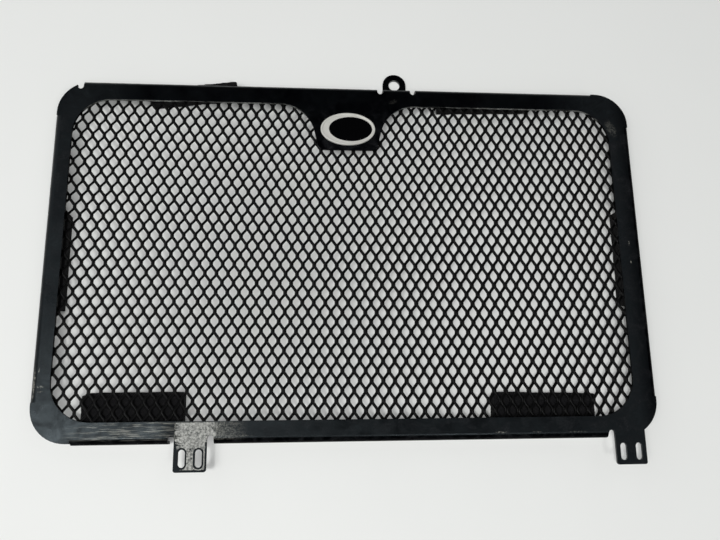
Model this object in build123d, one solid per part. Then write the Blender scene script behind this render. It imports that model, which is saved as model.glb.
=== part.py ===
from build123d import *
import math
import os

# Radiator guard, lying face up on its foam pads. Millimetres, +Z up, X along the width.
# The origin is at the middle of the frame's outline, on the plane that the pads stand on.

# Folded frame
sheet = 1.5
frame_width = 320.0
frame_height = 194.0
bend_radius = 3.5
flange_above_ground = 1.8
flange_stop = 2.0
flange_end_radius = 2.5
upper_flange_overrun = 5.0
corner_radius = 18.0
corner_inset = 0.9
relief_width = 3.2
relief_past_bend = 0.5
corner_relief_past_bend = 1.6

# Window and the tongue that hangs into it from the upper side
border = 11.0
window_shift = -1.5
window_radius = 20.0
tongue_shift = -0.5
tongue_depth = 26.8
tongue_tip_width = 32.0
tongue_side_angle = 13.0
tongue_tip_radius = 3.5

# Slotted tabs on the lower side and the ear on the upper side reach equally far past the frame
lug_reach = 13.4
tab_width = 16.0
left_tab_from_edge = 78.8
right_tab_from_edge = 17.0
tab_corner_radius = 1.2
slot_width = 3.4
slot_length = 8.6
slot_spacing = 8.2
slot_end_margin = 2.2
ear_at = 25.8
ear_root_width = 15.4
ear_width = 13.4
ear_hole = 6.5
ear_above_ground = 0.6

# Expanded mesh behind the frame: the diamonds have the real mesh's slant and share of open area,
# at two and a half times its pitch
mesh_thick = 2.3
mesh_to_bend = 1.0
mesh_rim = 3.0
cell_short = 15.0
cell_long = 25.0
strand = 2.7

# Foam pads between the mesh and the radiator: length along the side, width across it, place of the
# middle and turn in degrees
pad_thick = 8.0
pad_to_flange = 2.0
lower_left_pad_length = 50.0
lower_left_pad_width = 22.2
lower_left_pad_from_edge = 49.1
lower_right_pad_length = 53.9
lower_right_pad_width = 20.1
lower_right_pad_from_edge = 59.9
lower_right_pad_turn = -1.5
left_pad_length = 51.4
left_pad_width = 6.7
left_pad_above_middle = -3.5
right_pad_length = 53.0
right_pad_width = 8.1
right_pad_above_middle = 0.1
right_pad_turn = -0.8
upper_right_pad_length = 54.0
upper_right_pad_width = 5.9
upper_right_pad_from_edge = 82.8
upper_right_pad_turn = 1.8
crooked_pad_length = 48.2
crooked_pad_width = 8.6
crooked_pad_from_edge = 72.4
crooked_pad_under_top = 3.7
crooked_pad_turn = 7.5
flange_to_foam = 0.3

# Badge plate on the tongue
badge_height = 19.0
badge_side_margin = 3.6
badge_tip_margin = 2.4
badge_thick = 1.2
badge_rim = 1.3
badge_recess = 0.4

# Levels and edges that several pieces share
mesh_back = pad_thick
mesh_front = mesh_back + mesh_thick
face_top = mesh_front + sheet
flange_depth = face_top - flange_above_ground
half_width = frame_width / 2
half_height = frame_height / 2
window_left = -half_width + border + window_shift
window_right = half_width - border + window_shift
window_top = half_height - border
window_bottom = -window_top
tongue_at = window_shift + tongue_shift
tongue_tip = window_top - tongue_depth
tongue_lean = math.tan(math.radians(tongue_side_angle))
left_tab_at = -half_width + left_tab_from_edge
right_tab_at = half_width - right_tab_from_edge

left = Vector(-1, 0, 0)
right = Vector(1, 0, 0)
lower = Vector(0, -1, 0)
upper = Vector(0, 1, 0)


def half_across(outward):
    """Distance from the origin to the outer face of the flange on one side."""
    return half_width if outward.X else half_height


def side_point(outward, across, along):
    """Point at a distance outwards and a place along one side, in plan."""
    return (along, outward.Y * across) if outward.Y else (outward.X * across, along)


def side_strip(outward, inner, outer, low, high):
    """Plan rectangle on one side, from inner to outer and from low to high along the side."""
    middle = side_point(outward, (inner + outer) / 2, (low + high) / 2)
    if outward.Y:
        return Pos(*middle) * Rectangle(high - low, outer - inner)
    return Pos(*middle) * Rectangle(outer - inner, high - low)


# Stretches of flange as (side, low end, high end), between the flat corners, the tabs and the ear
corner_start_x = half_width - corner_inset - corner_radius
corner_start_y = half_height - corner_inset - corner_radius
flange_end_x = corner_start_x - flange_stop
flange_end_y = corner_start_y - flange_stop
upper_start = -corner_start_x - upper_flange_overrun
ear_low = ear_at - ear_root_width / 2
ear_high = ear_at + ear_root_width / 2
left_tab_low = left_tab_at - tab_width / 2
left_tab_high = left_tab_at + tab_width / 2
right_tab_low = right_tab_at - tab_width / 2
flanges = [
    (upper, upper_start, ear_low - relief_width),
    (upper, ear_high + relief_width, flange_end_x),
    (lower, -flange_end_x, left_tab_low - relief_width),
    (lower, left_tab_high + relief_width, right_tab_low - relief_width),
    (left, -flange_end_y, flange_end_y),
    (right, -flange_end_y, flange_end_y),
]
# Bend reliefs as (side, middle, how far they run past the bend line)
half_relief = relief_width / 2
reliefs = [
    (upper, upper_start - half_relief, corner_relief_past_bend),
    (upper, ear_low - half_relief, relief_past_bend),
    (upper, ear_high + half_relief, relief_past_bend),
    (lower, left_tab_low - half_relief, relief_past_bend),
    (lower, left_tab_high + half_relief, relief_past_bend),
    (lower, right_tab_low - half_relief, relief_past_bend),
]


def window():
    """Opening in the face, with the flared tongue left standing at its upper side."""
    opening = RectangleRounded(window_right - window_left, window_top - window_bottom, window_radius)
    opening = Pos((window_left + window_right) / 2, (window_top + window_bottom) / 2) * opening
    tip_half = tongue_tip_width / 2
    root_half = tip_half + tongue_depth * tongue_lean
    # the flare's tangent length gives the outline's reach along the window's upper edge
    flare_reach = window_radius * math.tan(math.radians(90 - tongue_side_angle) / 2)
    shoulder = root_half + flare_reach + sheet
    outline = FilletPolyline(
        (tongue_at - shoulder, window_top + sheet),
        (tongue_at - shoulder, window_top),
        (tongue_at - root_half, window_top),
        (tongue_at - tip_half, tongue_tip),
        (tongue_at + tip_half, tongue_tip),
        (tongue_at + root_half, window_top),
        (tongue_at + shoulder, window_top),
        (tongue_at + shoulder, window_top + sheet),
        radius=[0, 0, window_radius, tongue_tip_radius, tongue_tip_radius, window_radius, 0, 0],
        close=True,
    )
    return opening - make_face(outline)


def tab(at):
    """Plan of one tab on the lower side, with its two upright slots."""
    inner = half_height - border / 2
    outer = half_height + lug_reach
    plan = side_strip(lower, inner, outer, at - tab_width / 2, at + tab_width / 2)
    plan = fillet(plan.vertices().group_by(Axis.Y)[0], tab_corner_radius)
    slot_middle = outer - slot_end_margin - slot_length / 2
    for shift in (-slot_spacing / 2, slot_spacing / 2):
        slot = SlotOverall(slot_length, slot_width, rotation=90)
        plan -= Pos(*side_point(lower, slot_middle, at + shift)) * slot
    return plan


def face_plan():
    """Flat pattern of the face between the bends: corners, window, tabs, bend lines and reliefs."""
    plan = RectangleRounded(2 * (half_width - corner_inset), 2 * (half_height - corner_inset), corner_radius)
    ear_strip = (upper, ear_low, ear_high)
    for outward, low, high in flanges + [ear_strip]:
        bend_line = half_across(outward) - bend_radius
        plan -= side_strip(outward, bend_line, half_across(outward), low, high)
    plan = plan + tab(left_tab_at) + tab(right_tab_at) - window()
    for outward, middle, past_bend in reliefs:
        bend_line = half_across(outward) - bend_radius
        round_centre = bend_line - past_bend + half_relief
        plan -= Pos(*side_point(outward, round_centre, middle)) * Circle(half_relief)
        low, high = middle - half_relief, middle + half_relief
        plan -= side_strip(outward, round_centre, half_across(outward), low, high)
    return plan


def fold(outward, low, high, points, radii):
    """Folded sheet of one section along one side. Points are (outwards from the flange's face, up)."""
    base = side_point(outward, half_across(outward), (low + high) / 2)
    section_plane = Plane(origin=(*base, face_top), x_dir=outward, z_dir=outward.cross(Vector(0, 0, 1)))
    section = make_face(FilletPolyline(points, radius=radii, close=True))
    return extrude(section_plane * section, (high - low) / 2, both=True)


inner_bend = bend_radius - sheet
# every folded stretch runs on past its bends into the flat that it belongs to
bend_start = -bend_radius - sheet


def flange(outward, low, high):
    """Flange bent down from the face, with its free corners rounded."""
    points = [
        (bend_start, 0),
        (0, 0),
        (0, -flange_depth),
        (-sheet, -flange_depth),
        (-sheet, -sheet),
        (bend_start, -sheet),
    ]
    wall = fold(outward, low, high, points, [0, bend_radius, 0, 0, inner_bend, 0])
    across = Axis.X if outward.X else Axis.Y
    free_corners = wall.edges().filter_by(across).group_by(Axis.Z)[0]
    return fillet(free_corners, flange_end_radius)


def ear():
    """Strip folded down from the face and out again, ending in a round eye with a bolt hole."""
    ear_drop = face_top - ear_above_ground - sheet
    strip_end = -ear_drop + inner_bend
    drop = [
        (bend_start, 0),
        (0, 0),
        (0, strip_end),
        (-sheet, strip_end),
        (-sheet, -sheet),
        (bend_start, -sheet),
    ]
    strip = fold(upper, ear_low, ear_high, drop, [0, bend_radius, 0, 0, inner_bend, 0])
    foot = [
        (0, strip_end + sheet),
        (0, -ear_drop),
        (bend_radius, -ear_drop),
        (bend_radius, -ear_drop - sheet),
        (-sheet, -ear_drop - sheet),
        (-sheet, strip_end + sheet),
    ]
    ear_side = ear_width / 2
    heel = fold(upper, ear_at - ear_side, ear_at + ear_side, foot, [0, inner_bend, 0, 0, bend_radius, 0])
    eye_centre = half_height + lug_reach - ear_side
    eye = side_strip(upper, half_height + inner_bend, eye_centre, ear_at - ear_side, ear_at + ear_side)
    eye += Pos(ear_at, eye_centre) * Circle(ear_side)
    hole = Pos(ear_at, eye_centre, ear_above_ground) * Circle(ear_hole / 2)
    body = strip + heel + extrude(Pos(0, 0, ear_above_ground) * eye, sheet)
    return body - extrude(hole, sheet)


def frame():
    """Face, flanges and ear as one folded sheet."""
    body = extrude(Pos(0, 0, mesh_front) * face_plan(), sheet)
    for outward, low, high in flanges:
        body += flange(outward, low, high)
    return body + ear()


def in_rounded_rectangle(x, y, half_x, half_y, radius):
    """True if a point in plan lies inside a rounded rectangle about the origin."""
    past_x = max(abs(x) - half_x + radius, 0)
    past_y = max(abs(y) - half_y + radius, 0)
    return math.hypot(past_x, past_y) <= radius


def mesh_openings(half_x, half_y, radius):
    """Staggered diamonds between the strands, cut off where they meet the panel's solid rim."""
    slant = math.hypot(cell_short, cell_long)
    open_share = 1 - strand * slant / (cell_short * cell_long)
    reach_x = open_share * cell_short / 2
    reach_y = open_share * cell_long / 2
    tips = [(reach_x, 0), (0, reach_y), (-reach_x, 0), (0, -reach_y)]
    least_opening = strand**2
    inside_rim = RectangleRounded(2 * half_x, 2 * half_y, radius)
    columns = math.ceil(2 * half_x / cell_short)
    rows = math.ceil(2 * half_y / cell_long)
    wires = []
    for column in range(-columns, columns + 1):
        for row in range(-rows, rows + 1):
            if (column + row) % 2:
                continue
            x, y = column * cell_short / 2, row * cell_long / 2
            corners = [(x + tip_x, y + tip_y) for tip_x, tip_y in tips]
            within = [in_rounded_rectangle(*corner, half_x, half_y, radius) for corner in corners]
            diamond = make_face(Polyline(*corners, close=True))
            if all(within):
                wires.append(diamond.face().outer_wire())
            elif any(within):
                cut = diamond & inside_rim
                wires += [face.outer_wire() for face in cut.faces() if face.area > least_opening]
    return wires


def mesh_panel():
    """Expanded sheet under the face, inside the flanges."""
    half_x = half_width - bend_radius - mesh_to_bend
    half_y = half_height - bend_radius - mesh_to_bend
    radius = corner_radius + corner_inset - bend_radius - mesh_to_bend
    outline = RectangleRounded(2 * half_x, 2 * half_y, radius).face().outer_wire()
    openings = mesh_openings(half_x - mesh_rim, half_y - mesh_rim, radius - mesh_rim)
    return extrude(Pos(0, 0, mesh_back) * Face(outline, openings), mesh_thick)


on_ground = (Align.CENTER, Align.CENTER, Align.MIN)


def edge_pad(outward, along, length, width, turn=0):
    """Foam block on one side, a clear gap away from the flange."""
    outer = half_across(outward) - sheet - pad_to_flange
    size = (length, width) if outward.Y else (width, length)
    place = Pos(*side_point(outward, outer - width / 2, along)) * Rot(0, 0, turn)
    return place * Box(*size, pad_thick, align=on_ground)


def crooked_pad():
    """Foam block stuck on askew across the upper flange, which presses a groove into it."""
    middle = (-half_width + crooked_pad_from_edge, half_height - crooked_pad_under_top)
    block = Box(crooked_pad_length, crooked_pad_width, pad_thick, align=on_ground)
    block = Pos(*middle) * Rot(0, 0, crooked_pad_turn) * block
    groove_inner = half_height - sheet - flange_to_foam
    groove_outer = half_height + flange_to_foam
    groove = side_strip(upper, groove_inner, groove_outer, -half_width, half_width)
    groove_floor = face_top - flange_depth - flange_to_foam
    return block - extrude(Pos(0, 0, groove_floor) * groove, flange_depth)


def badge():
    """Oval plate with a raised rim, stuck to the front of the tongue."""
    half_long = badge_height / 2
    above_tip = badge_tip_margin + half_long
    half_wide = tongue_tip_width / 2 + above_tip * tongue_lean - badge_side_margin
    plate = extrude(Ellipse(half_wide, half_long), badge_thick)
    field = Ellipse(half_wide - badge_rim, half_long - badge_rim)
    plate -= extrude(Pos(0, 0, badge_thick - badge_recess) * field, badge_recess)
    return Pos(tongue_at, tongue_tip + above_tip, face_top) * plate


pieces = {
    "frame": frame(),
    "mesh_panel": mesh_panel(),
    "pad_lower_left": edge_pad(
        lower,
        -half_width + lower_left_pad_from_edge,
        lower_left_pad_length,
        lower_left_pad_width,
    ),
    "pad_lower_right": edge_pad(
        lower,
        half_width - lower_right_pad_from_edge,
        lower_right_pad_length,
        lower_right_pad_width,
        lower_right_pad_turn,
    ),
    "pad_left": edge_pad(
        left,
        left_pad_above_middle,
        left_pad_length,
        left_pad_width,
    ),
    "pad_right": edge_pad(
        right,
        right_pad_above_middle,
        right_pad_length,
        right_pad_width,
        right_pad_turn,
    ),
    "pad_upper_left": crooked_pad(),
    "pad_upper_right": edge_pad(
        upper,
        half_width - upper_right_pad_from_edge,
        upper_right_pad_length,
        upper_right_pad_width,
        upper_right_pad_turn,
    ),
    "badge": badge(),
}

os.makedirs("parts", exist_ok=True)
for node, shape in pieces.items():
    export_step(shape, f"parts/{node}.step")
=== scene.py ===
import math
import bmesh
import bpy
from mathutils import Color, Matrix, Vector, noise


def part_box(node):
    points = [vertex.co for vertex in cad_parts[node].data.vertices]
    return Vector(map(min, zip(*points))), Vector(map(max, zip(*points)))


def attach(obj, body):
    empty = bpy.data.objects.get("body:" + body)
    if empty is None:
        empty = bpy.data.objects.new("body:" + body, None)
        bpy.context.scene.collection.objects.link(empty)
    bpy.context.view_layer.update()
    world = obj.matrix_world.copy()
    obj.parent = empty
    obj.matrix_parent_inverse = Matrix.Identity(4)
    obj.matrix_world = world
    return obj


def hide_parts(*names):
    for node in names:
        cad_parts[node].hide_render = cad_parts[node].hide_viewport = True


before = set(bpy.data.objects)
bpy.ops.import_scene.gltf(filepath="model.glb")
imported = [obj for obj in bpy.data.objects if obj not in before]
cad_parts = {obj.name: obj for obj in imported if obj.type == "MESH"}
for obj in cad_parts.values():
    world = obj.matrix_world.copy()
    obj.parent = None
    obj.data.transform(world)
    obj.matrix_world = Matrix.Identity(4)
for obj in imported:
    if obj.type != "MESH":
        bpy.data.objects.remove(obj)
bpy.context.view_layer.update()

# Frame: one aluminium sheet, cut with its window, badge tongue, slotted tabs and ear, then folded back
# along its four sides and powder coated. Years of rubbing have taken the coat off the left tab and
# scratched the border beside it down to the metal.
mm = 0.001
frame_low, frame_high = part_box("frame")
face_top = frame_high.z
sheet = 1.5 * mm
edge_rounding = 0.25 * mm
edge_angle = math.radians(40)
flat_angle = math.radians(0.5)
window_bottom = -86 * mm
window_reach = Vector((152, 91)) * mm
border_bend = -96 * mm
tab_middle = Vector((-81.2, -103.9, 0)) * mm
tab_half_width = 8 * mm
slot_half_spacing = 4.1 * mm
slot_half_run = 2.6 * mm
slot_half_width = 1.7 * mm
coat_black = "#010102"
coat_faded = "#030405"
scuff_and_highlight_grey = "#86857d"
bare_dull = "#525453"
bare_metal = "#c6c6c0"
grime_grey = "#4c4d50"
cool_shine = (0.78, 0.93, 1.0, 1.0)
gloss_fresh = 0.25
gloss_handled = 0.4
gloss_smudged = 0.09
gloss_chafed = 0.62
gloss_bare = 0.6
bare_metallic = 0.8
shine_clean = 0.4
shine_smeared = 0.21
shine_in_shade = 0.02
shaded_share = 0.75


def linear(code):
    """Linear colour of an sRGB hex code, as shader sockets take it."""
    srgb = Color([int(code[place : place + 2], 16) / 255 for place in (1, 3, 5)])
    return (*srgb.from_srgb_to_scene_linear(), 1.0)


def new_material(name):
    made = bpy.data.materials.new(name)
    made.use_nodes = True
    made.node_tree.nodes.clear()
    return made


def add(owner, kind, sockets, out=0, **settings):
    """Adds a node, sets its properties, fills its sockets with values or links, and gives one output."""
    tree = owner.node_tree
    made = tree.nodes.new("ShaderNode" + kind)
    for name, value in settings.items():
        setattr(made, name, value)
    for name, value in sockets.items():
        if isinstance(value, bpy.types.NodeSocket):
            tree.links.new(value, made.inputs[name])
        else:
            made.inputs[name].default_value = value
    return made.outputs[out] if made.outputs else made


def per(size):
    """Texture scale at which the pattern's features are about this size."""
    return 1 / size


# Black powder coat, sprayed and baked: a slightly dimpled semi-gloss skin, uneven in shine where it is
# handled and smudged. Rubbed places show dull mottled aluminium on the tab, and scuffed grey coat in
# long streaks on the border beside it.
coat = new_material("aluminium_powder_coated_semi_gloss")
place = add(coat, "TexCoord", {}, out="Object")
axes = add(coat, "SeparateXYZ", {0: place}).node.outputs
facing = add(coat, "SeparateXYZ", {0: add(coat, "NewGeometry", {}, out="Normal")}).node.outputs

peel = add(coat, "TexNoise", {"Vector": place, "Scale": per(1.3 * mm), "Detail": 2.0})
sheet_wave = add(coat, "TexNoise", {"Vector": place, "Scale": per(45 * mm), "Detail": 1.0})
handling = add(
    coat, "TexNoise", {"Vector": place, "Scale": per(14 * mm), "Detail": 5.0, "Distortion": 0.6}
)
faded = add(coat, "MapRange", {0: handling, 1: 0.42, 2: 0.72})
coat_colour = add(
    coat, "Mix", {0: faded, 6: linear(coat_black), 7: linear(coat_faded)}, out=2, data_type="RGBA"
)

# dried water and road dust lie in smudges on the lower and side borders, hardly at all on the upper one
smear = add(
    coat,
    "TexNoise",
    {"Vector": place, "Scale": per(8 * mm), "Detail": 6.0, "Roughness": 0.62, "Distortion": 1.4},
)
smudge = add(coat, "MapRange", {0: smear, 1: 0.45, 2: 0.75})
grit = add(coat, "TexNoise", {"Vector": place, "Scale": per(0.9 * mm), "Detail": 3.0})
grit = add(coat, "MapRange", {0: grit, 1: 0.35, 2: 0.7, 3: 0.25, 4: 1.0})
washed_from, washed_to = 70 * mm, 86 * mm
washed = add(coat, "MapRange", {0: axes[1], 1: washed_from, 2: washed_to, 3: 0.24, 4: 0.04})
grime = add(coat, "Math", {0: smudge, 1: grit}, operation="MULTIPLY")
grime = add(coat, "Math", {0: grime, 1: washed}, operation="MULTIPLY")
coat_colour = add(
    coat, "Mix", {0: grime, 6: coat_colour, 7: linear(grime_grey)}, out=2, data_type="RGBA"
)

# how hard each place has been rubbed: full on the tab, fading along the border to the right
tab_left = tab_middle.x - tab_half_width
tab_right = tab_middle.x + tab_half_width
tab_end = frame_low.y
kept_strip = 3.2 * mm
rub_fade = 7 * mm
below_window = add(coat, "MapRange", {0: axes[1], 1: window_bottom, 2: window_bottom - 0.8 * mm})
# painted shade: black coat is kept along the lug's end, standing for the shadowed sheet edge there
lug_end_shade = add(coat, "MapRange", {0: axes[1], 1: tab_end + 0.5 * mm, 2: tab_end + 1.3 * mm})
upward = add(coat, "MapRange", {0: facing[2], 1: 0.75, 2: 0.97})
on_lug = add(coat, "MapRange", {0: axes[1], 1: border_bend, 2: tab_end, 3: 0.0, 4: kept_strip})
from_edge = add(coat, "Math", {0: axes[0], 1: on_lug}, operation="SUBTRACT")
rub_left = add(coat, "MapRange", {0: from_edge, 1: tab_left - 1.0 * mm, 2: tab_left + 1.0 * mm})
rub_end = tab_right + 2 * mm
rub_right = add(coat, "MapRange", {0: axes[0], 1: rub_end + rub_fade, 2: rub_end})
# painted shade: black coat is kept along the lug's right edge, standing for the shadowed sheet edge there
lug_edge_shade = add(coat, "MapRange", {0: axes[0], 1: tab_right - 0.4 * mm, 2: tab_right - 1.0 * mm})
on_border = add(coat, "MapRange", {0: axes[1], 1: border_bend - 1 * mm, 2: border_bend})
lug_edge_shade = add(coat, "Math", {0: lug_edge_shade, 1: on_border}, operation="MAXIMUM")
rubbed = upward
for limit in (below_window, lug_end_shade, rub_left, rub_right, lug_edge_shade):
    rubbed = add(coat, "Math", {0: rubbed, 1: limit}, operation="MULTIPLY")

# painted shade: black coat is kept round the slots, standing for the shadow on their walls
slot_x = add(coat, "Math", {0: axes[0], 1: tab_middle.x}, operation="SUBTRACT")
slot_x = add(coat, "Math", {0: slot_x}, operation="ABSOLUTE")
slot_x = add(coat, "Math", {0: slot_x, 1: slot_half_spacing}, operation="SUBTRACT")
slot_y = add(coat, "Math", {0: axes[1], 1: tab_middle.y}, operation="SUBTRACT")
slot_y = add(coat, "Math", {0: slot_y}, operation="ABSOLUTE")
slot_y = add(coat, "Math", {0: slot_y, 1: slot_half_run}, operation="SUBTRACT")
slot_y = add(coat, "Math", {0: slot_y, 1: 0.0}, operation="MAXIMUM")
slot_offset = add(coat, "CombineXYZ", {0: slot_x, 1: slot_y})
slot_gap = add(coat, "VectorMath", {0: slot_offset}, out="Value", operation="LENGTH")
slot_shade_rim = slot_half_width + 0.5 * mm
off_slot_shade = add(coat, "MapRange", {0: slot_gap, 1: slot_shade_rim, 2: slot_shade_rim + 0.5 * mm})
rubbed = add(coat, "Math", {0: rubbed, 1: off_slot_shade}, operation="MULTIPLY")

# left of the tab the rubbing broke up into nicks along the border, on the tab into round spots
nick_place = add(coat, "VectorMath", {0: place, 1: (0.2, 1.0, 1.0)}, operation="MULTIPLY")
nicks = add(
    coat, "TexNoise", {"Vector": nick_place, "Scale": per(0.9 * mm), "Detail": 4.0, "Roughness": 0.6}
)
spots = add(
    coat, "TexNoise", {"Vector": place, "Scale": per(2.4 * mm), "Detail": 8.0, "Roughness": 0.7}
)
on_tab = add(coat, "MapRange", {0: axes[0], 1: tab_left + 1 * mm, 2: tab_left + 6 * mm})
wear_pattern = add(coat, "Mix", {0: on_tab, 2: nicks, 3: spots})
worn_through = add(coat, "MapRange", {0: on_tab, 3: 0.47, 4: 0.36})
coat_left = add(coat, "Mix", {0: rubbed, 2: 0.95, 3: worn_through})
bare_from = add(coat, "Math", {0: coat_left, 1: 0.05}, operation="SUBTRACT")
bare_to = add(coat, "Math", {0: coat_left, 1: 0.07}, operation="ADD")
bare = add(coat, "MapRange", {0: wear_pattern, 1: bare_from, 2: bare_to})

# scuffs that only greyed the coat: long streaks to the left of the tab, a fine speckle to its right
streak_place = add(coat, "VectorMath", {0: place, 1: (0.05, 1.0, 1.0)}, operation="MULTIPLY")
streak_start, streak_full = -145 * mm, -122 * mm
streaks = add(
    coat, "TexNoise", {"Vector": streak_place, "Scale": per(0.55 * mm), "Detail": 5.0, "Roughness": 0.7}
)
streaks = add(coat, "MapRange", {0: streaks, 1: 0.51, 2: 0.64})
streaks_from = add(coat, "MapRange", {0: axes[0], 1: streak_start, 2: streak_full})
streaks_to = add(coat, "MapRange", {0: axes[0], 1: tab_left, 2: tab_left - rub_fade, 3: 0.35, 4: 1.0})
speckle = add(
    coat, "TexNoise", {"Vector": place, "Scale": per(1.0 * mm), "Detail": 6.0, "Roughness": 0.8}
)
speckle = add(coat, "MapRange", {0: speckle, 1: 0.42, 2: 0.66})
left_of_tab = add(coat, "Math", {0: axes[0], 1: tab_left}, operation="LESS_THAN")
left_scuffs = add(coat, "Math", {0: streaks, 1: streaks_from}, operation="MULTIPLY")
left_scuffs = add(coat, "Math", {0: left_scuffs, 1: streaks_to}, operation="MULTIPLY")
right_reach = add(coat, "MapRange", {0: axes[0], 1: tab_right + 20 * mm, 2: tab_right + 4 * mm})
right_scuffs = add(coat, "Math", {0: speckle, 1: right_reach}, operation="MULTIPLY")
scuffs_and_highlights = add(coat, "Mix", {0: left_of_tab, 2: right_scuffs, 3: left_scuffs})
above_bend = add(coat, "MapRange", {0: axes[1], 1: border_bend + 0.5 * mm, 2: border_bend + 2 * mm})
for limit in (below_window, above_bend, upward):
    scuffs_and_highlights = add(coat, "Math", {0: scuffs_and_highlights, 1: limit}, operation="MULTIPLY")

# knocks and finger marks elsewhere, and painted highlights along the folds, as (x, y, half length, half
# width, turn in degrees, strength), in mm
marks_and_highlights = (
    (-156.2, -60.8, 2.2, 0.45, 80, 0.8),
    (-155.2, -68.6, 2.8, 1.0, 5, 0.6),
    (-154.8, -71.0, 2.4, 0.7, 8, 0.4),
    (153.0, 7.3, 2.0, 0.5, 85, 0.9),
    (153.0, -3.5, 1.6, 0.5, 95, 0.8),
    (149.0, 75.3, 7.5, 4.0, 113, 0.22),
    # painted highlight: a light strip down the left fold
    (-158.4, -67.0, 11.0, 1.1, 90, 0.9),
    (23.6, 88.4, 3.5, 1.8, 20, 0.06),
    # partly wear and partly painted highlight: light streaks along the start of the lower fold
    (-57.0, -93.3, 9.0, 0.7, 0, 0.35),
    (75.3, -93.5, 4.5, 0.7, 0, 0.8),
    (93.8, -93.6, 3.5, 0.6, 0, 0.4),
    (114.9, -93.7, 7.0, 0.6, 0, 0.25),
)
for x, y, half_length, half_width, degrees, strength in marks_and_highlights:
    about_mark = add(
        coat,
        "Mapping",
        {
            "Vector": place,
            "Location": (x * mm, y * mm, face_top),
            "Rotation": (0, 0, math.radians(degrees)),
            "Scale": (half_length * mm, half_width * mm, 1.0),
        },
        vector_type="TEXTURE",
    )
    mark_and_highlight = add(coat, "TexGradient", {"Vector": about_mark}, gradient_type="SPHERICAL", out=1)
    mark_and_highlight = add(coat, "Math", {0: mark_and_highlight, 1: speckle}, operation="MULTIPLY")
    mark_and_highlight = add(coat, "MapRange", {0: mark_and_highlight, 1: 0.1, 2: 0.4, 4: strength})
    scuffs_and_highlights = add(coat, "Math", {0: scuffs_and_highlights, 1: mark_and_highlight}, operation="MAXIMUM")

# the sheet's cut edge along the top of the window is made bare metal in broken runs, which shows as a thin
# bright line
bare_edge_from, bare_edge_to = 78 * mm, 80 * mm
edge_facing = add(coat, "MapRange", {0: facing[1], 1: -0.6, 2: -0.9})
edge_place = add(coat, "MapRange", {0: axes[1], 1: bare_edge_from, 2: bare_edge_to})
edge_run = add(coat, "TexNoise", {"Vector": nick_place, "Scale": per(3 * mm), "Detail": 3.0})
edge_run = add(coat, "MapRange", {0: edge_run, 1: 0.36, 2: 0.56})
cut_edge = add(coat, "Math", {0: edge_facing, 1: edge_place}, operation="MULTIPLY")
cut_edge = add(coat, "Math", {0: cut_edge, 1: edge_run}, operation="MULTIPLY")
bare = add(coat, "Math", {0: bare, 1: cut_edge}, operation="MAXIMUM")

mottle = add(
    coat, "TexNoise", {"Vector": place, "Scale": per(1.1 * mm), "Detail": 8.0, "Roughness": 0.75}
)
mottle = add(coat, "MapRange", {0: mottle, 1: 0.37, 2: 0.63})
metal_colour = add(
    coat, "Mix", {0: mottle, 6: linear(bare_dull), 7: linear(bare_metal)}, out=2, data_type="RGBA"
)
surface = add(
    coat, "Mix", {0: scuffs_and_highlights, 6: coat_colour, 7: linear(scuff_and_highlight_grey)}, out=2, data_type="RGBA"
)
surface = add(coat, "Mix", {0: bare, 6: surface, 7: metal_colour}, out=2, data_type="RGBA")

# roughness: handled and smudged places are duller, the chafed coat beside the tab and bare metal most
gloss = add(coat, "MapRange", {0: handling, 1: 0.3, 2: 0.7, 3: gloss_fresh, 4: gloss_handled})
gloss = add(coat, "Math", {0: smudge, 1: gloss_smudged, 2: gloss}, operation="MULTIPLY_ADD")
chafed = add(coat, "MapRange", {0: axes[0], 1: tab_left - 8 * mm, 2: tab_left - 3 * mm})
before_lug_end = add(coat, "Math", {0: axes[0], 1: tab_right + 1 * mm}, operation="LESS_THAN")
chafed = add(coat, "Math", {0: chafed, 1: before_lug_end}, operation="MULTIPLY")
chafed = add(coat, "Math", {0: chafed, 1: below_window}, operation="MULTIPLY")
gloss = add(coat, "Mix", {0: chafed, 2: gloss, 3: gloss_chafed})
gloss = add(coat, "Mix", {0: bare, 2: gloss, 3: gloss_bare})
metal = add(coat, "Math", {0: bare, 1: bare_metallic}, operation="MULTIPLY")

# painted shade: the cut edges round the window get almost no shine, so they show dark like a shaded gap
window_edge_shade = add(coat, "MapRange", {0: facing[2], 1: 0.5, 2: 0.2})
off_centre_x = add(coat, "Math", {0: axes[0]}, operation="ABSOLUTE")
off_centre_y = add(coat, "Math", {0: axes[1]}, operation="ABSOLUTE")
between_sides = add(coat, "Math", {0: off_centre_x, 1: window_reach.x}, operation="LESS_THAN")
below_top = add(coat, "Math", {0: off_centre_y, 1: window_reach.y}, operation="LESS_THAN")
for limit in (between_sides, below_top):
    window_edge_shade = add(coat, "Math", {0: window_edge_shade, 1: limit}, operation="MULTIPLY")

# painted shade: the folds along the lower and right sides, the right margin and the upper border with its
# tongue get less shine, so their reflections stay dark
right_from, right_to = 150 * mm, 157 * mm
upper_from, upper_to = 50 * mm, 58 * mm
corner_from, corner_to = 112 * mm, 136 * mm
lower_fold = add(coat, "MapRange", {0: facing[1], 1: -0.12, 2: -0.35})
right_fold = add(coat, "MapRange", {0: facing[0], 1: 0.03, 2: 0.2})
fold_shade = add(coat, "Math", {0: lower_fold, 1: right_fold}, operation="MAXIMUM")
rounding = add(coat, "MapRange", {0: facing[2], 1: 0.05, 2: 0.2})
fold_shade = add(coat, "Math", {0: fold_shade, 1: rounding}, operation="MULTIPLY")
right_margin_shade = add(coat, "MapRange", {0: axes[0], 1: right_from, 2: right_to, 4: shaded_share})
right_margin_shade = add(coat, "Math", {0: right_margin_shade, 1: upward}, operation="MULTIPLY")
upper_margin_shade = add(coat, "MapRange", {0: axes[1], 1: upper_from, 2: upper_to, 4: shaded_share})
before_corner = add(coat, "MapRange", {0: off_centre_x, 1: corner_to, 2: corner_from})
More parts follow.
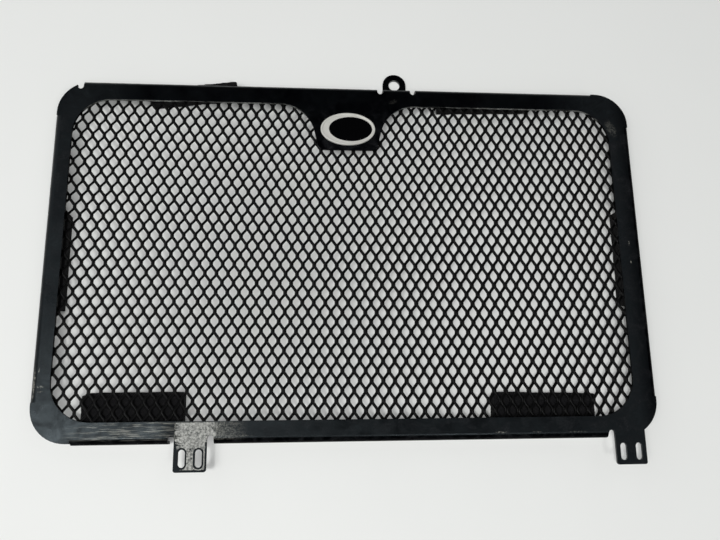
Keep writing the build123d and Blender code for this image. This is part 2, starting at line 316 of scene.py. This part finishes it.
for limit in (before_corner, upward):
    upper_margin_shade = add(coat, "Math", {0: upper_margin_shade, 1: limit}, operation="MULTIPLY")
dull = window_edge_shade
for shaded_place in (fold_shade, right_margin_shade, upper_margin_shade):
    dull = add(coat, "Math", {0: dull, 1: shaded_place}, operation="MAXIMUM")
clean = add(coat, "MapRange", {0: smear, 1: 0.34, 2: 0.64, 3: shine_clean, 4: shine_smeared})
shine = add(coat, "Mix", {0: dull, 2: clean, 3: shine_in_shade})

# the skin: edges eased by the coat, slow waves of the sheet, fine peel, and hollows where it is worn
rounded = add(coat, "Bevel", {"Radius": edge_rounding})
waves = add(coat, "Bump", {"Height": sheet_wave, "Distance": 0.12 * mm, "Normal": rounded})
skin = add(coat, "Bump", {"Height": peel, "Distance": 0.03 * mm, "Strength": 0.5, "Normal": waves})
worn_skin = add(coat, "Bump", {"Height": bare, "Distance": -0.06 * mm, "Strength": 0.7, "Normal": skin})
shader = add(
    coat,
    "BsdfPrincipled",
    {
        "Base Color": surface,
        "Roughness": gloss,
        "Metallic": metal,
        "Specular IOR Level": shine,
        "Specular Tint": cool_shine,
        "Normal": worn_skin,
    },
)
add(coat, "OutputMaterial", {"Surface": shader})

shape = bmesh.new()
shape.from_mesh(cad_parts["frame"].data)
bmesh.ops.remove_doubles(shape, verts=shape.verts, dist=0.001 * mm)
bmesh.ops.dissolve_limit(shape, angle_limit=flat_angle, verts=shape.verts, edges=shape.edges)
mesh = bpy.data.meshes.new("frame")
shape.to_mesh(mesh)
shape.free()
mesh.shade_smooth()
mesh.set_sharp_from_angle(angle=edge_angle)
mesh.materials.append(coat)
folded_frame = bpy.data.objects.new("folded_frame", mesh)
bpy.context.scene.collection.objects.link(folded_frame)
flat_faces = folded_frame.modifiers.new("flat_faces", "WEIGHTED_NORMAL")
flat_faces.weight = 100
flat_faces.keep_sharp = True
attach(folded_frame, "root")
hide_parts("frame")

# Mesh panel: one sheet of aluminium, slit in staggered rows and drawn sideways until the slits open into
# diamonds, then coated black. Each strip between two rows of slits runs on as a zigzag that leans over,
# and meets its neighbours in short upright bonds.
panel_low, panel_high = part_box("mesh_panel")
panel_radius = 14.4 * mm
cell_short = 6.04 * mm
cell_long = 10.07 * mm
strip_width = 1.03 * mm
strip_thick = 1.08 * mm
strip_lean = math.radians(54)
strip_chamfer = 0.12 * mm
strip_front = 0.36 * mm
bond_length = 1.4 * mm
bond_swell = 1.1
strand_swell = 1.1
opening_at = Vector((3.68, -10.76)) * mm
lattice_turn = math.radians(-0.31)
bow_span = Vector((150, 90)) * mm
# the bow as (power of x, power of y, mm along x, mm along y), with x and y in spans
sheet_bow = (
    (0, 0, -0.15, -0.29),
    (1, 0, -0.46, -0.54),
    (0, 1, 0.29, -0.21),
    (2, 0, 1.24, 0.73),
    (1, 1, -0.86, 0.01),
    (0, 2, -0.01, -0.62),
    (3, 0, 1.18, 1.12),
    (2, 1, -0.71, 1.12),
    (1, 2, 0.05, -0.45),
    (0, 3, -0.11, 0.04),
)
strand_steps = (1 / 3, 2 / 3)
shortest_strip = 1 * mm
strip_edge_angle = math.radians(60)
strand_black = "#020202"
strand_dust = "#1a1815"

half_short = cell_short / 2
half_long = cell_long / 2
panel_middle = (panel_low + panel_high) / 2
panel_half = (panel_high - panel_low) / 2
lean_along = Vector((math.cos(strip_lean), math.sin(strip_lean)))
lean_across = Vector((-lean_along.y, lean_along.x))
turn = Matrix.Rotation(lattice_turn, 2)


def on_sheet(short, long):
    """Place in plan of a lattice point, with the slight bow of the drawn sheet's rows."""
    spot = turn @ Vector((short, long)) + opening_at
    x, y = spot.x / bow_span.x, spot.y / bow_span.y
    for power_x, power_y, shift_x, shift_y in sheet_bow:
        spot += Vector((shift_x, shift_y)) * mm * x**power_x * y**power_y
    return spot


def in_panel(short, long):
    """True if a lattice point lies inside the panel's rounded outline."""
    spot = on_sheet(short, long) - panel_middle.xy
    past_x = max(abs(spot.x) - panel_half.x + panel_radius, 0)
    past_y = max(abs(spot.y) - panel_half.y + panel_radius, 0)
    return math.hypot(past_x, past_y) <= panel_radius


def strip_stations(column, rows):
    """Places along one strip: (long, short, height, bond side, short at the outline test, spread)."""
    stations = []
    for row in rows:
        side = -1 if (column + row) % 2 else 1
        bond_at = (column if side < 0 else column + 1) * half_short
        centre = Vector((bond_at, 0)) - side * lean_along * strip_width / 2
        next_bond = (column + 1 if side < 0 else column) * half_short
        next_centre = Vector((next_bond, 0)) + side * lean_along * strip_width / 2
        start = row * half_long
        for end in (start - bond_length / 2, start + bond_length / 2):
            stations.append((end, centre.x, centre.y, side, bond_at, bond_swell))
        for step in strand_steps:
            eased = step * step * (3 - 2 * step)
            eased = (eased + step) / 2
            long = start + bond_length / 2 + step * (half_long - bond_length)
            here = centre.lerp(next_centre, eased)
            # a strand that runs aslant is as wide across itself as a bond, so wider along x
            slope = (6 * step * (1 - step) + 1) / 2 * (next_centre.x - centre.x) / (half_long - bond_length)
            stations.append((long, here.x, here.y, 0, here.x, strand_swell * math.hypot(1, slope)))
    return stations


def between(a, b):
    """Station where a strip crosses the panel's outline, found by halving."""
    inside, outside = (a, b) if in_panel(a[4], a[0]) else (b, a)
    side = a[3] if a[3] == b[3] else 0
    for _ in range(20):
        middle = [(p + q) / 2 for p, q in zip(inside, outside)]
        if in_panel(middle[4], middle[0]):
            inside = middle
        else:
            outside = middle
    return (*inside[:3], side, *inside[4:])


def strip_runs(stations):
    """Stretches of a strip that lie inside the panel, cut off at its outline."""
    runs, run = [], []
    for a, b in zip(stations, stations[1:]):
        a_in, b_in = in_panel(a[4], a[0]), in_panel(b[4], b[0])
        if a_in:
            run.append(a)
        if a_in != b_in:
            run.append(between(a, b))
        if run and not b_in:
            runs.append(run)
            run = []
    return [run for run in runs if run[-1][0] - run[0][0] > shortest_strip]


def strip_profile(station):
    """Six corners of the strip's section, with the front edges eased where they don't run into a bond."""
    long, short, height, side, _, spread = station
    half_width, half_thick = strip_width / 2, strip_thick / 2
    left = 0 if side < 0 else strip_chamfer
    right = 0 if side > 0 else strip_front
    corners = [
        (-half_width, -half_thick),
        (half_width, -half_thick),
        (half_width, half_thick - right),
        (half_width - right, half_thick),
        (-half_width + left, half_thick),
        (-half_width, half_thick - left),
    ]
    points = []
    for along, across in corners:
        offset = along * lean_along + across * lean_across
        flat = on_sheet(short + offset.x * spread, long)
        points.append((flat.x, flat.y, panel_middle.z + height + offset.y))
    return points


# the section's sides that lie inside a bond, on the strip's left and on its right
bond_sides = {-1: (4, 5), 1: (1, 2), 0: ()}
mesh = bpy.data.meshes.new("mesh_panel")
points, faces = [], []
reach = panel_half.xy.length + opening_at.length
columns = range(-math.ceil(reach / half_short), math.ceil(reach / half_short))
rows = range(-math.ceil(reach / half_long), math.ceil(reach / half_long))
for column in columns:
    for run in strip_runs(strip_stations(column, rows)):
        first = len(points)
        for station in run:
            points += strip_profile(station)
        corner_count = len(points) - first
        section = corner_count // len(run)
        for step, (a, b) in enumerate(zip(run, run[1:])):
            base = first + step * section
            hidden = bond_sides[a[3]] if a[3] == b[3] else ()
            for corner in range(section):
                if corner in hidden:
                    continue
                following = (corner + 1) % section
                near = (base + corner, base + following)
                faces.append((*near, near[1] + section, near[0] + section))
        faces.append(tuple(range(first + section - 1, first - 1, -1)))
        faces.append(tuple(range(first + corner_count - section, first + corner_count)))
mesh.from_pydata(points, [], faces)
shape = bmesh.new()
shape.from_mesh(mesh)
bmesh.ops.remove_doubles(shape, verts=shape.verts, dist=0.001 * mm)
bmesh.ops.recalc_face_normals(shape, faces=shape.faces)
shape.to_mesh(mesh)
shape.free()
mesh.shade_smooth()
mesh.set_sharp_from_angle(angle=strip_edge_angle)
mesh_panel = bpy.data.objects.new("expanded_mesh", mesh)
bpy.context.scene.collection.objects.link(mesh_panel)

# The same coat, thinner on the sheared strands: glossier on their faces, with a little road dust.
mesh_coat = new_material("expanded_aluminium_powder_coated")
place = add(mesh_coat, "TexCoord", {}, out="Object")
peel = add(mesh_coat, "TexNoise", {"Vector": place, "Scale": per(0.9 * mm), "Detail": 2.0})
dust = add(
    mesh_coat, "TexNoise", {"Vector": place, "Scale": per(9 * mm), "Detail": 6.0, "Roughness": 0.65}
)
dusty = add(mesh_coat, "MapRange", {0: dust, 1: 0.58, 2: 0.8, 3: 0.0, 4: 0.3})
strand_colour = add(
    mesh_coat, "Mix", {0: dusty, 6: linear(strand_black), 7: linear(strand_dust)}, out=2, data_type="RGBA"
)
gloss = add(mesh_coat, "MapRange", {0: dust, 1: 0.3, 2: 0.75, 3: 0.34, 4: 0.46})
skin = add(mesh_coat, "Bump", {"Height": peel, "Distance": 0.02 * mm, "Strength": 0.5})
shader = add(
    mesh_coat,
    "BsdfPrincipled",
    {"Base Color": strand_colour, "Roughness": gloss, "Specular IOR Level": 0.16, "Normal": skin},
)
add(mesh_coat, "OutputMaterial", {"Surface": shader})
mesh.materials.append(mesh_coat)
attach(mesh_panel, "root")
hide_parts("mesh_panel")

# Foam pads: blocks of black closed-cell rubber foam, cut by hand from a self-adhesive strip and stuck
# behind the mesh to stand the guard off the radiator. One was stuck on crooked across the upper flange,
# which has pressed a groove into it.
pad_turns = {
    "pad_lower_left": 0.0,
    "pad_lower_right": -1.5,
    "pad_left": 0.0,
    "pad_right": -0.8,
    "pad_upper_left": 7.5,
    "pad_upper_right": 1.8,
}
flange_outer = 97 * mm
flange_bottom = face_top - 10 * mm
flange_to_foam = 0.3 * mm
foam_grain = 0.6 * mm
cut_wander = 0.28 * mm
cut_wave = 9 * mm
crumb_depth = 0.16 * mm
crumb_size = 2.2 * mm
skin_share = 0.25
snip_length = 5 * mm
snip_depth = 1.8 * mm
foam_black = "#101011"
foam_dust = "#222122"


def foam_block(node, degrees):
    """Mesh of a block that fills the node's box when it is turned."""
    low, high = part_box(node)
    size = high - low
    angle = math.radians(abs(degrees))
    c, s = math.cos(angle), math.sin(angle)
    # a turned rectangle's box gives back the rectangle's own two sides
    length = (size.x * c - size.y * s) / (c * c - s * s)
    width = (size.y * c - size.x * s) / (c * c - s * s)
    block = bmesh.new()
    bmesh.ops.create_cube(block, size=1)
    bmesh.ops.scale(block, vec=(length, width, size.z), verts=block.verts)
    bmesh.ops.rotate(block, matrix=Matrix.Rotation(math.radians(degrees), 3, "Z"), verts=block.verts)
    bmesh.ops.translate(block, vec=(low + high) / 2, verts=block.verts)
    made = bpy.data.meshes.new(node)
    block.to_mesh(made)
    block.free()
    return made


def flange_cutter():
    """Bar that stands for the upper flange with room round it."""
    bar = bmesh.new()
    bmesh.ops.create_cube(bar, size=1)
    across = sheet + 2 * flange_to_foam
    bmesh.ops.scale(bar, vec=(frame_high.x, across, face_top), verts=bar.verts)
    base = flange_bottom - flange_to_foam
    middle = Vector((panel_low.x / 2, flange_outer - sheet / 2, base + face_top / 2))
    bmesh.ops.translate(bar, vec=middle, verts=bar.verts)
    made = bpy.data.meshes.new("flange_cutter")
    bar.to_mesh(made)
    bar.free()
    cutter = bpy.data.objects.new("flange_cutter", made)
    bpy.context.scene.collection.objects.link(cutter)
    return cutter


def evaluated_mesh(piece):
    """Mesh of a piece with its modifiers applied."""
    graph = bpy.context.evaluated_depsgraph_get()
    return bpy.data.meshes.new_from_object(piece.evaluated_get(graph))


# Closed-cell foam rubber, sawn: dead black, with fine open pores that hold a little grey dust.
foam = new_material("foam_rubber_closed_cell_cut")
place = add(foam, "TexCoord", {}, out="Object")
pores = add(foam, "TexVoronoi", {"Vector": place, "Scale": per(0.9 * mm)}, out="Distance")
grain = add(
    foam, "TexNoise", {"Vector": place, "Scale": per(1.6 * mm), "Detail": 6.0, "Roughness": 0.7}
)
dust = add(foam, "MapRange", {0: grain, 1: 0.52, 2: 0.78})
foam_colour = add(
    foam, "Mix", {0: dust, 6: linear(foam_black), 7: linear(foam_dust)}, out=2, data_type="RGBA"
)
pitted = add(foam, "Bump", {"Height": pores, "Distance": 0.25 * mm, "Strength": 0.8})
crumbly = add(foam, "Bump", {"Height": grain, "Distance": 0.3 * mm, "Strength": 0.6, "Normal": pitted})
shader = add(
    foam,
    "BsdfPrincipled",
    {"Base Color": foam_colour, "Roughness": 0.92, "Specular IOR Level": 0.15, "Normal": crumbly},
)
add(foam, "OutputMaterial", {"Surface": shader})

cutter = flange_cutter()
for node, degrees in pad_turns.items():
    low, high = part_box(node)
    pad = bpy.data.objects.new("foam_" + node, foam_block(node, degrees))
    bpy.context.scene.collection.objects.link(pad)
    if node == "pad_upper_left":
        groove = pad.modifiers.new("groove", "BOOLEAN")
        groove.object = cutter
        groove.solver = "EXACT"
    grid = pad.modifiers.new("grid", "REMESH")
    grid.mode = "VOXEL"
    grid.voxel_size = foam_grain
    pad.data = evaluated_mesh(pad)
    pad.modifiers.clear()
    shape = bmesh.new()
    shape.from_mesh(pad.data)
    bmesh.ops.smooth_vert(
        shape, verts=shape.verts, factor=0.3, use_axis_x=True, use_axis_y=True, use_axis_z=True
    )
    shape.normal_update()
    moved = []
    for vert in shape.verts:
        wander = cut_wander * noise.noise(vert.co / cut_wave)
        wander += crumb_depth * noise.noise(vert.co / crumb_size)
        share = skin_share if abs(vert.normal.z) > 0.7 else 1.0
        moved.append(vert.co + vert.normal * wander * share)
    for vert, spot in zip(shape.verts, moved):
        spot.z = min(max(spot.z, low.z), high.z)
        if node == "pad_lower_left":
            # its outer corner was snipped off
            snip = snip_depth * max(1 - (spot.x - low.x) / snip_length, 0)
            spot.y = min(spot.y, high.y - snip)
        vert.co = spot
    shape.to_mesh(pad.data)
    shape.free()
    pad.data.shade_smooth()
    pad.data.materials.clear()
    pad.data.materials.append(foam)
    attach(pad, "root")
    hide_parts(node)
bpy.data.objects.remove(cutter)

# Badge: an oval plate pressed from bright aluminium, with a raised rim and a plain black enamelled field,
# stuck to the tongue.
badge_low, badge_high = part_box("badge")
badge_middle = (badge_low + badge_high) / 2
badge_half = (badge_high - badge_low) / 2
badge_thick = badge_high.z - badge_low.z
field_height = badge_thick - 0.4 * mm
enamel_from_left = 4.6 * mm
enamel_from_right = 1.7 * mm
enamel_from_side = 2.3 * mm
enamel_shift = (enamel_from_left - enamel_from_right) / 2
enamel_inset = (enamel_from_left + enamel_from_right) / 2
enamel_steps = (0.15, 1.0, 2.4, 4.2, 6.0)
enamel_dome = 0.12 * mm
ring_points = 96
satin_bright = "#dad9d2"
satin_dulled = "#c6c5be"
enamel_black = "#030304"
# rings from the outer foot inwards as (inset along the oval, inset across it, shift, height)
badge_rings = [
    (0.0, 0.0, 0.0, 0.0),
    (0.0, 0.0, 0.0, badge_thick - 0.3 * mm),
    (0.1 * mm, 0.1 * mm, 0.0, badge_thick - 0.12 * mm),
    (0.3 * mm, 0.3 * mm, 0.0, badge_thick),
    (0.9 * mm, 0.9 * mm, 0.0, badge_thick),
    (1.15 * mm, 1.15 * mm, 0.0, badge_thick - 0.12 * mm),
    (1.3 * mm, 1.3 * mm, 0.0, field_height),
    (enamel_inset, enamel_from_side, enamel_shift, field_height),
]
enamel_ring = len(badge_rings) - 1
for step in enamel_steps:
    height = field_height + enamel_dome * (1 - math.exp(-step))
    inward = step * mm
    badge_rings.append((enamel_inset + inward, enamel_from_side + inward, enamel_shift, height))

shape = bmesh.new()
rings = []
for inset_x, inset_y, shift, height in badge_rings:
    ring = []
    for point in range(ring_points):
        angle = 2 * math.pi * point / ring_points
        x = badge_middle.x + shift + (badge_half.x - inset_x) * math.cos(angle)
        y = badge_middle.y + (badge_half.y - inset_y) * math.sin(angle)
        ring.append(shape.verts.new((x, y, badge_low.z + height)))
    rings.append(ring)
for level, (outer, inner) in enumerate(zip(rings, rings[1:])):
    for point in range(ring_points):
        following = (point + 1) % ring_points
        face = shape.faces.new((outer[point], outer[following], inner[following], inner[point]))
        face.material_index = 1 if level >= enamel_ring else 0
shape.faces.new(rings[-1]).material_index = 1
shape.faces.new(reversed(rings[0]))
bmesh.ops.recalc_face_normals(shape, faces=shape.faces)
mesh = bpy.data.meshes.new("badge")
shape.to_mesh(mesh)
shape.free()
mesh.shade_smooth()
mesh.set_sharp_from_angle(angle=edge_angle)
badge = bpy.data.objects.new("badge_plate", mesh)
bpy.context.scene.collection.objects.link(badge)

# Bright aluminium with a fine satin grain along the oval, a little dulled by washing.
satin = new_material("aluminium_pressed_satin")
place = add(satin, "TexCoord", {}, out="Object")
grain_place = add(satin, "VectorMath", {0: place, 1: (0.06, 1.0, 1.0)}, operation="MULTIPLY")
grain = add(satin, "TexNoise", {"Vector": grain_place, "Scale": per(0.35 * mm), "Detail": 4.0})
dull = add(satin, "TexNoise", {"Vector": place, "Scale": per(5 * mm), "Detail": 4.0})
metal_colour = add(
    satin, "Mix", {0: dull, 6: linear(satin_bright), 7: linear(satin_dulled)}, out=2, data_type="RGBA"
)
gloss = add(satin, "MapRange", {0: grain, 1: 0.3, 2: 0.7, 3: 0.3, 4: 0.44})
brushed = add(satin, "Bump", {"Height": grain, "Distance": 0.012 * mm, "Strength": 0.6})
shader = add(
    satin,
    "BsdfPrincipled",
    {"Base Color": metal_colour, "Metallic": 0.2, "Roughness": gloss, "Normal": brushed},
)
add(satin, "OutputMaterial", {"Surface": shader})
mesh.materials.append(satin)

# Black enamel, filled in flush: smooth and glossy with tiny pits.
enamel = new_material("enamel_black_filled")
place = add(enamel, "TexCoord", {}, out="Object")
pits = add(enamel, "TexNoise", {"Vector": place, "Scale": per(0.5 * mm), "Detail": 3.0})
gloss = add(enamel, "MapRange", {0: pits, 1: 0.3, 2: 0.7, 3: 0.22, 4: 0.27})
shader = add(
    enamel,
    "BsdfPrincipled",
    {"Base Color": linear(enamel_black), "Roughness": gloss, "Specular IOR Level": 0.16},
)
add(enamel, "OutputMaterial", {"Surface": shader})
mesh.materials.append(enamel)
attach(badge, "root")
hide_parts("badge")

# Stage: a white laminate table top in a room with a dark ceiling. A pale wall stands to the left and
# beyond, a grey one behind the camera, and the lamps stand at the left and behind.
table_half = 6.0
table_white = "#e9eae7"
table_cloudy = "#e6e7e4"
glow_white = "#f6f7f5"
shade_reach = 30 * mm
glow_in_shade = 0.47
glow_in_open = 0.12
ceiling_dark = "#030405"
ceiling_pale = "#bcbec0"
wall_pale = "#a4a5a4"
wall_grey = "#404142"
table = bpy.data.meshes.new("table")
corners = [(x * table_half, y * table_half, 0) for x, y in ((-1, -1), (1, -1), (1, 1), (-1, 1))]
table.from_pydata(corners, [], [(0, 1, 2, 3)])
table_top = bpy.data.objects.new("table_top", table)
bpy.context.scene.collection.objects.link(table_top)

# White laminate, pressed matt: even and pale, with a faint cloudiness. To the camera and in reflections
# it glows a little, most where the mesh shades it and not at all close under the pads and flanges.
laminate = new_material("laminate_white_matt")
place = add(laminate, "TexCoord", {}, out="Object")
mottle = add(laminate, "TexNoise", {"Vector": place, "Scale": per(60 * mm), "Detail": 3.0})
white = add(
    laminate, "Mix", {0: mottle, 6: linear(table_white), 7: linear(table_cloudy)}, out=2, data_type="RGBA"
)
shader = add(laminate, "BsdfPrincipled", {"Base Color": white, "Roughness": 0.6})
rays = add(laminate, "LightPath", {}).node.outputs
seen = add(laminate, "Math", {0: rays["Is Camera Ray"], 1: rays["Is Glossy Ray"]}, operation="MAXIMUM")
seen = add(laminate, "Math", {0: seen, 1: rays["Is Transmission Ray"]}, operation="MAXIMUM")
open_to_sky = add(laminate, "AmbientOcclusion", {"Distance": shade_reach}, out="AO", samples=8)
lit = add(laminate, "MapRange", {0: open_to_sky, 1: 0.14, 2: 0.36})
paleness = add(
    laminate, "MapRange", {0: open_to_sky, 1: 0.46, 2: 0.72, 3: glow_in_shade, 4: glow_in_open}
)
paleness = add(laminate, "Math", {0: lit, 1: paleness}, operation="MULTIPLY")
paleness = add(laminate, "Math", {0: seen, 1: paleness}, operation="MULTIPLY")
glow = add(laminate, "Emission", {"Color": linear(glow_white), "Strength": 1.0})
top = add(laminate, "MixShader", {0: paleness, 1: shader, 2: glow})
add(laminate, "OutputMaterial", {"Surface": top})
table.materials.append(laminate)

world = bpy.data.worlds.new("studio")
bpy.context.scene.world = world
world.use_nodes = True
world.node_tree.nodes.clear()
heading = add(world, "TexCoord", {}, out="Generated")
heading = add(world, "SeparateXYZ", {0: heading}).node.outputs
on_left = add(world, "MapRange", {0: heading[0], 1: -0.2, 2: -0.4})
on_right = add(world, "MapRange", {0: heading[0], 1: 0.28, 2: 0.45})
right_end = add(world, "MapRange", {0: heading[0], 1: 0.76, 2: 0.62})
on_right = add(world, "Math", {0: on_right, 1: right_end}, operation="MULTIPLY")
sideways = add(world, "Math", {0: on_left, 1: on_right}, operation="MAXIMUM")
ceiling = add(
    world, "Mix", {0: sideways, 6: linear(ceiling_dark), 7: linear(ceiling_pale)}, out=2, data_type="RGBA"
)
rising = add(world, "MapRange", {0: heading[2], 1: 0.1, 2: 0.4})
away = add(world, "Math", {0: heading[1], 1: heading[0]}, operation="SUBTRACT")
behind = add(world, "MapRange", {0: away, 1: 0.4, 2: -0.2})
wall = add(
    world, "Mix", {0: behind, 6: linear(wall_pale), 7: linear(wall_grey)}, out=2, data_type="RGBA"
)
walls = add(world, "Mix", {0: rising, 6: wall, 7: ceiling}, out=2, data_type="RGBA")
sky = add(world, "Background", {"Color": walls, "Strength": 1.0})
add(world, "OutputWorld", {"Surface": sky})


def softbox(name, spot, size, watts, mirrored=True):
    """Square area light at a spot, turned to the middle of the guard, with or without its reflection."""
    light = bpy.data.lights.new(name, "AREA")
    light.size = size
    light.energy = watts
    lamp = bpy.data.objects.new(name, light)
    lamp.location = spot
    lamp.rotation_euler = (-Vector(spot)).to_track_quat("-Z", "Y").to_euler()
    lamp.visible_glossy = mirrored
    bpy.context.scene.collection.objects.link(lamp)


# the coat mirrors the key and the rear lamp, and the small side lamp only throws the shadows
softbox("key", (-0.5, -0.32, 1.22), 0.5, 6.5)
softbox("side", (-0.48, -0.28, 1.8), 0.17, 11.6, mirrored=False)
softbox("rear", (0.3, -0.6, 1.05), 0.2, 2.1)

# Camera: held above the guard's lower half, as in the photograph.
camera_spot = Vector((-25.02, -88.14, 350.35)) * mm + Vector((0, 0, face_top))
camera_aim = Vector((3.68, -8.81, 0)) * mm + Vector((0, 0, face_top))
camera_roll = math.radians(0.75)
camera_data = bpy.data.cameras.new("camera")
camera_data.lens = 34.0
camera_data.clip_start = 0.01
camera = bpy.data.objects.new("camera", camera_data)
forward = (camera_aim - camera_spot).normalized()
right = forward.cross(Vector((math.sin(camera_roll), math.cos(camera_roll), 0))).normalized()
up = right.cross(forward)
camera.matrix_world = Matrix((right, up, -forward)).transposed().to_4x4()
camera.location = camera_spot
bpy.context.scene.collection.objects.link(camera)
bpy.context.scene.camera = camera
bpy.context.scene.view_settings.view_transform = "Standard"
